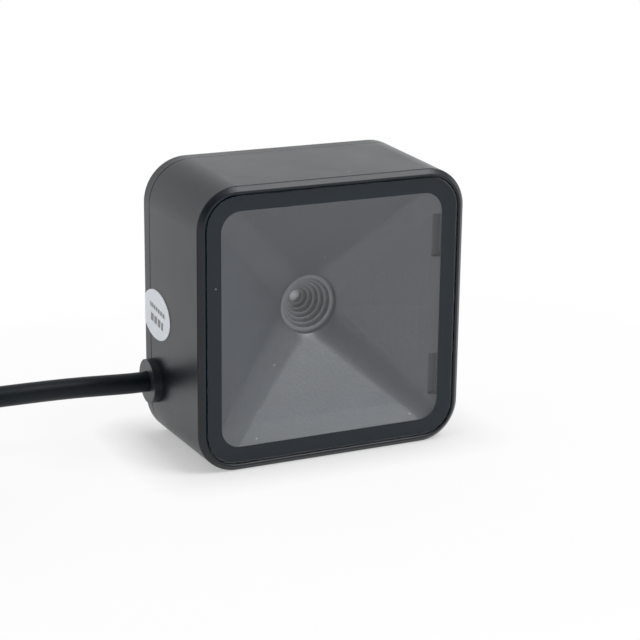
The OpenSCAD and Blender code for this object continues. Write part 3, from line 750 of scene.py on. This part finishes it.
class READER_OT_plug(bpy.types.Operator):
    """Finish the plug and add the rings of its strain relief"""

    bl_idname = "reader.plug"
    bl_label = "Plug"

    def execute(self, context):
        black = grained("plug_black", (0.018, 0.018, 0.02), 0.45, grain=3000.0, depth=0.00003, dust=0.1)
        dress(black, "plug_body")
        soften("plug_body", 0.0006)
        dress(bare_metal("plug_plating", (0.72, 0.73, 0.75), 0.22), "plug_shell")
        dress(grained("plug_white", (0.78, 0.78, 0.76), 0.5), "plug_insert")
        dress(bare_metal("contact_gold", (0.83, 0.62, 0.26), 0.25), "plug_contacts")
        low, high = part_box("plug_body")
        centre_y = (low.y + high.y) / 2
        centre_z = (low.z + high.z) / 2
        ring_count, ring_step, first_ring = 3, 1.6 * MM, 1.2 * MM
        ring_radius, bead = 3.1 * MM, 0.5 * MM
        around, section = 48, 10

        def rings(form):
            for k in range(ring_count):
                x = high.x - first_ring - ring_step * k
                loops = []
                for i in range(around):
                    a = 2 * math.pi * i / around
                    loop = []
                    for j in range(section):
                        b = 2 * math.pi * j / section
                        reach = ring_radius + bead * math.cos(b)
                        loop.append(form.verts.new((
                            x + bead * math.sin(b), centre_y + reach * math.cos(a),
                            centre_z + reach * math.sin(a))))
                    loops.append(loop)
                for i in range(around):
                    for j in range(section):
                        a, b = loops[i], loops[(i + 1) % around]
                        n = (j + 1) % section
                        form.faces.new((a[j], a[n], b[n], b[j]))

        mesh = mesh_from("relief_rings", rings)
        mesh.shade_smooth()
        new_piece("relief_rings", mesh, black)
        return {"FINISHED"}


class READER_OT_declare(bpy.types.Operator):
    bl_idname = "reader.declare"
    bl_label = "Declare cable"

    def execute(self, context):
        return {"FINISHED"}


class READER_OT_shell(bpy.types.Operator):
    """Finish the housing, the back cover and the grommet"""

    bl_idname = "reader.shell"
    bl_label = "Shell"

    def execute(self, context):
        finish = context.scene.reader_finish
        black = grained("moulded_black", finish.housing_colour, finish.housing_roughness,
                        grain=3200.0, depth=0.000022, spread=0.1, sway=0.03, dust=0.06, shine=0.42)
        self.grey_lugs_with_painted_light(black, finish)
        dress(black, "front_housing", "back_cover")
        rubber = grained("grommet_rubber", (0.024, 0.028, 0.035), 0.38, grain=3500.0, depth=0.00002)
        dress(rubber, "cable_grommet")
        soften("cable_grommet", 0.0002)
        return {"FINISHED"}

    def grey_lugs_with_painted_light(self, material, finish):
        """Greys what stands inside the black border, the lugs in the notches of the hood, with a grey
        lighter than the hood's own: painted light where the notches lie in shade.
        """
        tree = material.node_tree
        base = tree.nodes["Principled BSDF"].inputs["Base Color"]
        low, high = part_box("window_tape")
        corner_room = 2.3 * MM
        reach = 6.0 * MM
        inner = (high.x - low.x) / 2 - corner_room
        middle = Vector(((low.x + high.x) / 2, high.y + reach, (low.z + high.z) / 2))
        place = vector_math(tree, "SUBTRACT", object_place(tree), middle)
        place = vector_math(tree, "ABSOLUTE", place.outputs[0])
        place = put(tree, "ShaderNodeSeparateXYZ", {0: place.outputs[0]})
        aside = math_node(tree, "MAXIMUM", place.outputs[0], place.outputs[2])
        deep = math_node(tree, "LESS_THAN", place.outputs[1], reach)
        inside = math_node(tree, "MULTIPLY", math_node(tree, "LESS_THAN", aside, inner), deep)
        # Painted light: the lugs' grey is lighter than the hood's to make up for the shade in the notches
        tree.links.new(mix_colour(tree, inside, base.links[0].from_socket, rgba(finish.lug_colour_painted_light)), base)


class READER_OT_window(bpy.types.Operator):
    """Finish the window and lay its black border in contact with the glass"""

    bl_idname = "reader.window"
    bl_label = "Window"

    def execute(self, context):
        finish = context.scene.reader_finish
        dress(clear_glass("window_clear", (0.97, 0.985, 0.99), ior=1.42), "window_glass")
        tape = grained("tape_black", finish.tape_colour, 0.6, depth=0.000002, dust=0.10, shine=0.0)
        low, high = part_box("window_tape")
        contact = 0.02 * MM
        border = 3.2 * MM
        outer_corner = 6.72 * MM
        inner_corner = 4.3 * MM
        middle = (low + high) / 2
        half_w = (high.x - low.x) / 2
        half_h = (high.z - low.z) / 2

        def frame_strip(form):
            front, back = low.y - contact, high.y
            outer, inner = (0.0, outer_corner), (border, inner_corner)
            closed_skin(form, [
                rounded_loop(middle, y, half_w - inward, half_h - inward, corner)
                for y, (inward, corner) in ((front, outer), (front, inner), (back, inner), (back, outer))])

        piece = new_piece("border_tape", mesh_from("border_tape", frame_strip), tape)
        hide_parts("window_tape")
        return {"FINISHED"}


class READER_OT_hood(bpy.types.Operator):
    """Finish the light hood, line its walls and steps, and finish the lens behind it"""

    bl_idname = "reader.hood"
    bl_label = "Hood and lens"

    def execute(self, context):
        finish = context.scene.reader_finish
        grey = grained("hood_grey", finish.hood_colour, finish.hood_roughness, grain=1700.0, depth=0.00003,
                       spread=0.06, dust=0.06, shine=0.88)
        dress(grey, "light_hood")
        even_out("light_hood")
        low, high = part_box("window_glass")
        axis = Vector(((low.x + high.x) / 2, low.y, (low.z + high.z) / 2))
        self.add_lining(axis, grey)
        self.add_snout(axis, self.stepped_grey_with_painted_light(finish))
        milky, tree, shader = blank_material("lens_milky")
        surface = use(tree, moulded_grain(), {"Tone scale": 500.0})
        tint = use(tree, uneven_colour(), {
            "Colour": rgba(finish.lens_colour), "Spread": 0.1, "Tone": surface.outputs["Tone"]})
        tree.links.new(tint.outputs[0], shader.inputs["Base Color"])
        shader.inputs["Roughness"].default_value = 0.25
        shader.inputs["Transmission Weight"].default_value = 0.05
        dress(milky, "lens_front")
        dress(clear_glass("lens_clear", (0.92, 0.95, 0.97), haze=0.01), "lens_rear", "ir_filter")
        dress(grained("barrel_black", (0.015, 0.015, 0.016), 0.55),
              "lens_barrel", "lens_spacer", "lens_holder")
        return {"FINISHED"}

    def stepped_grey_with_painted_light(self, finish):
        """Grey with a painted highlight along the edges of the steps and painted shade in their corners."""
        shade_share, highlight_share = 0.55, 1.28
        material = grained(
            "snout_grey_painted_light", finish.snout_colour, 0.34, grain=3000.0, depth=0.000008, spread=0.05)
        tree = material.node_tree
        base = tree.nodes["Principled BSDF"].inputs["Base Color"]
        # Painted light and shade: the grey is scaled down in the step corners and up along the step edges
        edge = put(tree, "ShaderNodeAttribute", attribute_name=PAINTED_LIGHT_ATTRIBUTE).outputs["Fac"]
        factor = map_range(tree, edge, 0.0, 1.0, shade_share, highlight_share)
        tree.links.new(scaled(tree, base.links[0].from_socket, factor), base)
        return material

    def add_lining(self, axis, material):
        """Lines the walls: from a rounded square near the mouth to the round edge around the snout."""
        def wall(share, sunk):
            half, corner, depth = (a + (b - a) * share for a, b in zip(LINING_MOUTH, LINING_EDGE))
            return half, corner, depth + sunk

        steps, thickness, clear, foot = 16, 0.5, 0.02, 0.4
        rounded_edge = ((0.14, -0.085), (0.07, -0.03), (0.02, 0.03), (0.0, 0.12))
        radius, _, depth = LINING_EDGE
        front = [wall(k / steps, 0.0) for k in range(steps)]
        front += [(radius + r, radius + r, depth + d) for r, d in rounded_edge]
        front += [(r, r, COLLAR_DEPTH - clear) for r in (radius, radius + foot)]
        back = [wall(k / steps, thickness) for k in range(steps)][::-1]

        def walls(form):
            closed_skin(form, [
                rounded_loop(axis, axis.y + depth * MM, half * MM, half * MM, corner * MM)
                for half, corner, depth in front + back])

        self.add_smooth("hood_lining", walls, material)

    def add_snout(self, axis, material):
        """Adds the collar and the steps down to the lens, with rounded edges and painted light and shade: a
        painted shadow at the collar's outer edge, painted highlights on the collar's rim and the step
        edges, and painted shade at the foot of each riser.
        """
        skin, rounding, arc, corner_arc = 0.04, 0.12, 4, 24
        collar_radius = LINING_EDGE[0] - 0.02
        # Where the painted highlight starts and ends, and the painted tones from shade (dark) to highlight
        # (light)
        light_from, light_to = 0.42, 0.25
        dark, dim, rim, light = 0.0, 0.1, 0.8, 1.0
        radii = [STEP_RADIUS - STEP_WIDTH * k - skin for k in range(STEP_COUNT + 1)]
        depths = [COLLAR_DEPTH + STEP_HEIGHT * k - skin for k in range(STEP_COUNT + 1)]
        depths.append(THROAT_END - skin)
        # Radius, depth and painted tone from the collar's edge down to the throat and back behind the
        # steps; the tone is painted shade (dark) in corners and painted highlight (light) on edges
        profile = [(collar_radius - inward, depths[0], tone)
                   for inward, tone in ((0.0, dark), (0.1, dim), (0.28, rim))]
        for radius, face, foot in zip(radii, depths, depths[1:]):
            if face > depths[0]:
                profile.append((radius + light_from, face, dim))
            for k in range(arc + 1):
                a = math.pi / 2 * k / arc
                profile.append((
                    radius + rounding * (1 - math.sin(a)), face + rounding * (1 - math.cos(a)), light))
            profile += [(radius, face + light_to, dim), (radius, foot, dark)]
        profile += [(radii[-1] + 0.2, depths[-1], dark), (radii[-2] + 0.35, depths[-2] + 0.15, dark),
                    (collar_radius, depths[0] + 0.4, dark)]

        def turned(form):
            closed_skin(form, [
                rounded_loop(axis, axis.y + depth * MM, *[radius * MM] * 3, corner_arc)
                for radius, depth, _ in profile])

        mesh = self.add_smooth("snout_rings", turned, material)
        around = len(mesh.vertices) // len(profile)
        # Each point carries the painted light and shade of its profile point
        painted_tones = mesh.attributes.new(PAINTED_LIGHT_ATTRIBUTE, "FLOAT", "POINT")
        for k, vertex in enumerate(painted_tones.data):
            vertex.value = profile[k // around][2]

    def add_smooth(self, name, build, material):
        """Adds a smooth piece of the hood and gives its mesh."""
        mesh = mesh_from(name, build)
        mesh.shade_smooth()
        mesh.set_sharp_from_angle(angle=math.radians(35))
        new_piece(name, mesh, material)
        return mesh


class READER_OT_board(bpy.types.Operator):
    """Finish the board and what it carries"""

    bl_idname = "reader.board"
    bl_label = "Board"

    def execute(self, context):
        dress(self.varnished_board(), "main_board")
        dress(grained("chip_black", (0.02, 0.02, 0.021), 0.5, depth=0.00003), "decoder_chip", "memory_chip",
              "image_sensor", "buzzer")
        dress(grained("lamp_yellow", (0.80, 0.72, 0.35), 0.3, spread=0.15), "lamp_chips")
        dress(grained("connector_cream", (0.72, 0.68, 0.56), 0.45), "cable_header", "cable_connector")
        dress(grained("lead_red", (0.42, 0.03, 0.02), 0.35), "inner_leads")
        dress(bare_metal("crystal_can", (0.68, 0.68, 0.70), 0.3), "clock_crystal")
        return {"FINISHED"}

    def varnished_board(self):
        """Green varnish over a plain pattern of tracks."""
        material, tree, shader = blank_material("board_green")
        surface = use(tree, moulded_grain(), {"Grain scale": 2000.0, "Tone scale": 120.0})
        tracks = put(tree, "ShaderNodeTexBrick", {
            "Vector": object_place(tree), "Scale": 220.0, "Mortar Size": 0.05,
            "Color1": (0.012, 0.085, 0.035, 1.0), "Color2": (0.016, 0.105, 0.045, 1.0),
            "Mortar": (0.030, 0.170, 0.075, 1.0)})
        tint = use(tree, uneven_colour(), {
            "Colour": tracks.outputs["Color"], "Spread": 0.1, "Tone": surface.outputs["Tone"]})
        tree.links.new(tint.outputs[0], shader.inputs["Base Color"])
        shader.inputs["Roughness"].default_value = 0.28
        bump(tree, shader, tracks.outputs["Fac"], 0.00003)
        return material


class READER_OT_fasteners(bpy.types.Operator):
    """Finish the screws and the threaded inserts"""

    bl_idname = "reader.fasteners"
    bl_label = "Fasteners"

    def execute(self, context):
        dress(bare_metal("screw_steel", (0.30, 0.30, 0.31), 0.32, stretch=1.0),
              "cover_screws", "board_screws")
        dress(bare_metal("insert_brass", (0.70, 0.48, 0.18), 0.3, stretch=1.0), "mount_inserts")
        return {"FINISHED"}


class READER_OT_label(bpy.types.Operator):
    """Finish the oval seal label with two rows of plain bars"""

    bl_idname = "reader.label"
    bl_label = "Seal label"

    def execute(self, context):
        finish = context.scene.reader_finish
        low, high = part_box("seal_label")
        material, tree, shader = blank_material("seal_film")
        surface = use(tree, moulded_grain(), {"Tone scale": 250.0})
        film = use(tree, uneven_colour(), {
            "Colour": rgba(finish.label_colour), "Spread": 0.04, "Tone": surface.outputs["Tone"]})
        middle = (0.0, (low.y + high.y) / 2, (low.z + high.z) / 2)
        tilt = math.radians(-7.6)
        centre = vector_math(tree, "SUBTRACT", object_place(tree), middle)
        turned = put(tree, "ShaderNodeVectorRotate", {
            "Vector": centre.outputs[0], "Axis": (1.0, 0.0, 0.0), "Angle": tilt},
            rotation_type="AXIS_ANGLE")
        place = put(tree, "ShaderNodeSeparateXYZ", {0: turned.outputs[0]})
        along, up = place.outputs[1], place.outputs[2]
        # Height, half height, half length and period of each row of bars
        upper = self.bar_row(tree, along, up, 1.25 * MM, 0.5 * MM, 4.2 * MM, 1.25 * MM)
        lower = self.bar_row(tree, along, up, -1.35 * MM, 0.85 * MM, 3.4 * MM, 1.9 * MM)
        inked = math_node(tree, "MAXIMUM", upper, lower)
        printed = mix_colour(tree, inked, film.outputs[0], rgba(finish.print_colour))
        tree.links.new(printed, shader.inputs["Base Color"])
        shader.inputs["Roughness"].default_value = 0.4
        bump(tree, shader, surface.outputs["Height"], 0.00001)
        dress(material, "seal_label")
        return {"FINISHED"}

    def bar_row(self, tree, along, up, height, half_height, half_length, period):
        """Mask of one row: short plain bars with gaps between them."""
        bar_share = 0.78
        rise = math_node(tree, "ABSOLUTE", math_node(tree, "SUBTRACT", up, height))
        in_row = math_node(tree, "LESS_THAN", rise, half_height)
        in_length = math_node(tree, "LESS_THAN", math_node(tree, "ABSOLUTE", along), half_length)
        cell = math_node(tree, "FRACT", math_node(tree, "DIVIDE", along, period))
        in_bar = math_node(tree, "LESS_THAN", cell, bar_share)
        return math_node(tree, "MULTIPLY", math_node(tree, "MULTIPLY", in_row, in_length), in_bar)


class READER_PT_panel(bpy.types.Panel):
    """Steps that dress the reader"""

    bl_idname = "READER_PT_panel"
    bl_label = "Fixed barcode reader"
    bl_space_type = "VIEW_3D"
    bl_region_type = "UI"
    bl_category = "Reader"

    def draw(self, context):
        for step in STEPS:
            self.layout.operator(step.bl_idname)
        scene = context.scene
        for settings in (scene.reader_stage, scene.reader_cable, scene.reader_finish):
            box = self.layout.box()
            for key in settings.__annotations__:
                box.prop(settings, key)


STEPS = (
    READER_OT_stage, READER_OT_cable, READER_OT_tie, READER_OT_plug, READER_OT_declare, READER_OT_shell,
    READER_OT_window, READER_OT_hood, READER_OT_board, READER_OT_fasteners, READER_OT_label,
)
CLASSES = (ReaderStage, ReaderCable, ReaderFinish) + STEPS + (READER_PT_panel,)


def register():
    for made in CLASSES:
        bpy.utils.register_class(made)
    bpy.types.Scene.reader_stage = PointerProperty(type=ReaderStage)
    bpy.types.Scene.reader_cable = PointerProperty(type=ReaderCable)
    bpy.types.Scene.reader_finish = PointerProperty(type=ReaderFinish)


def unregister():
    del bpy.types.Scene.reader_finish
    del bpy.types.Scene.reader_cable
    del bpy.types.Scene.reader_stage
    for made in reversed(CLASSES):
        bpy.utils.unregister_class(made)


def main():
    register()
    for step in STEPS:
        family, name = step.bl_idname.split(".")
        getattr(getattr(bpy.ops, family), name)()


if __name__ == "__main__":
    main()
